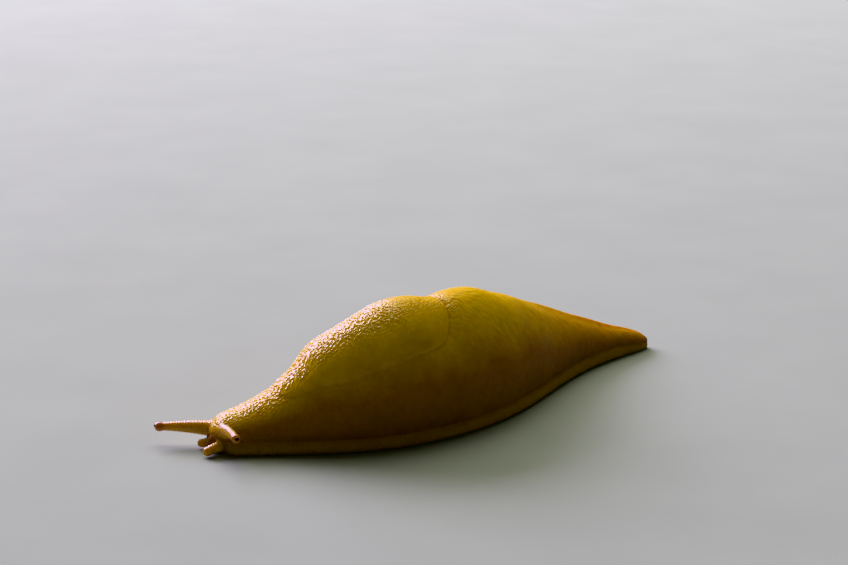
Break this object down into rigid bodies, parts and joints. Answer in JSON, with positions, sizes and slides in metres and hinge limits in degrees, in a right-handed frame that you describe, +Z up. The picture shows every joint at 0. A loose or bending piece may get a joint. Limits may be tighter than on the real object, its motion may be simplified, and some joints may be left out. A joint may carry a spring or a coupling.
{
  "type": "banana slug model",
  "caption": "Life-size model of a crawling banana slug with a humped mantle, two pairs of feelers, a frilled foot and a keeled, tapering tail, resting on its flat sole.",
  "frame": {"origin": "on the floor, on the middle line of the sole, 60 mm of body length behind the snout", "axes": "+X along the chord of the body towards the tail, +Y to the slug's own right side, +Z up"},
  "size_m": [0.1479, 0.0388, 0.0339],
  "materials": {
    "flesh": "wet, slightly translucent yellow skin with fine oblique furrows",
    "mantle": "wet yellow skin with fine rounded granules that sparkle in light from above",
    "foot": "wet dull yellow fringe with fine upright grooves over a pale smooth sole",
    "feeler": "wet, translucent amber yellow with fine rings, darker at the bulb",
    "eye": "small glossy near-black eye spot"
  },
  "bodies": {
    "root": {"head": "flesh", "neck": "flesh", "trunk_front": "flesh", "trunk_middle": "flesh", "trunk_rear": "flesh", "tail": "flesh", "mantle": "mantle", "foot_front": "foot", "foot_middle": "foot", "foot_rear": "foot", "foot_tail": "foot", "upper_feeler_left": "feeler", "upper_feeler_right": "feeler", "lower_feeler_left": "feeler", "lower_feeler_right": "feeler", "eye_left": "eye", "eye_right": "eye"}
  },
  "joints": []
}
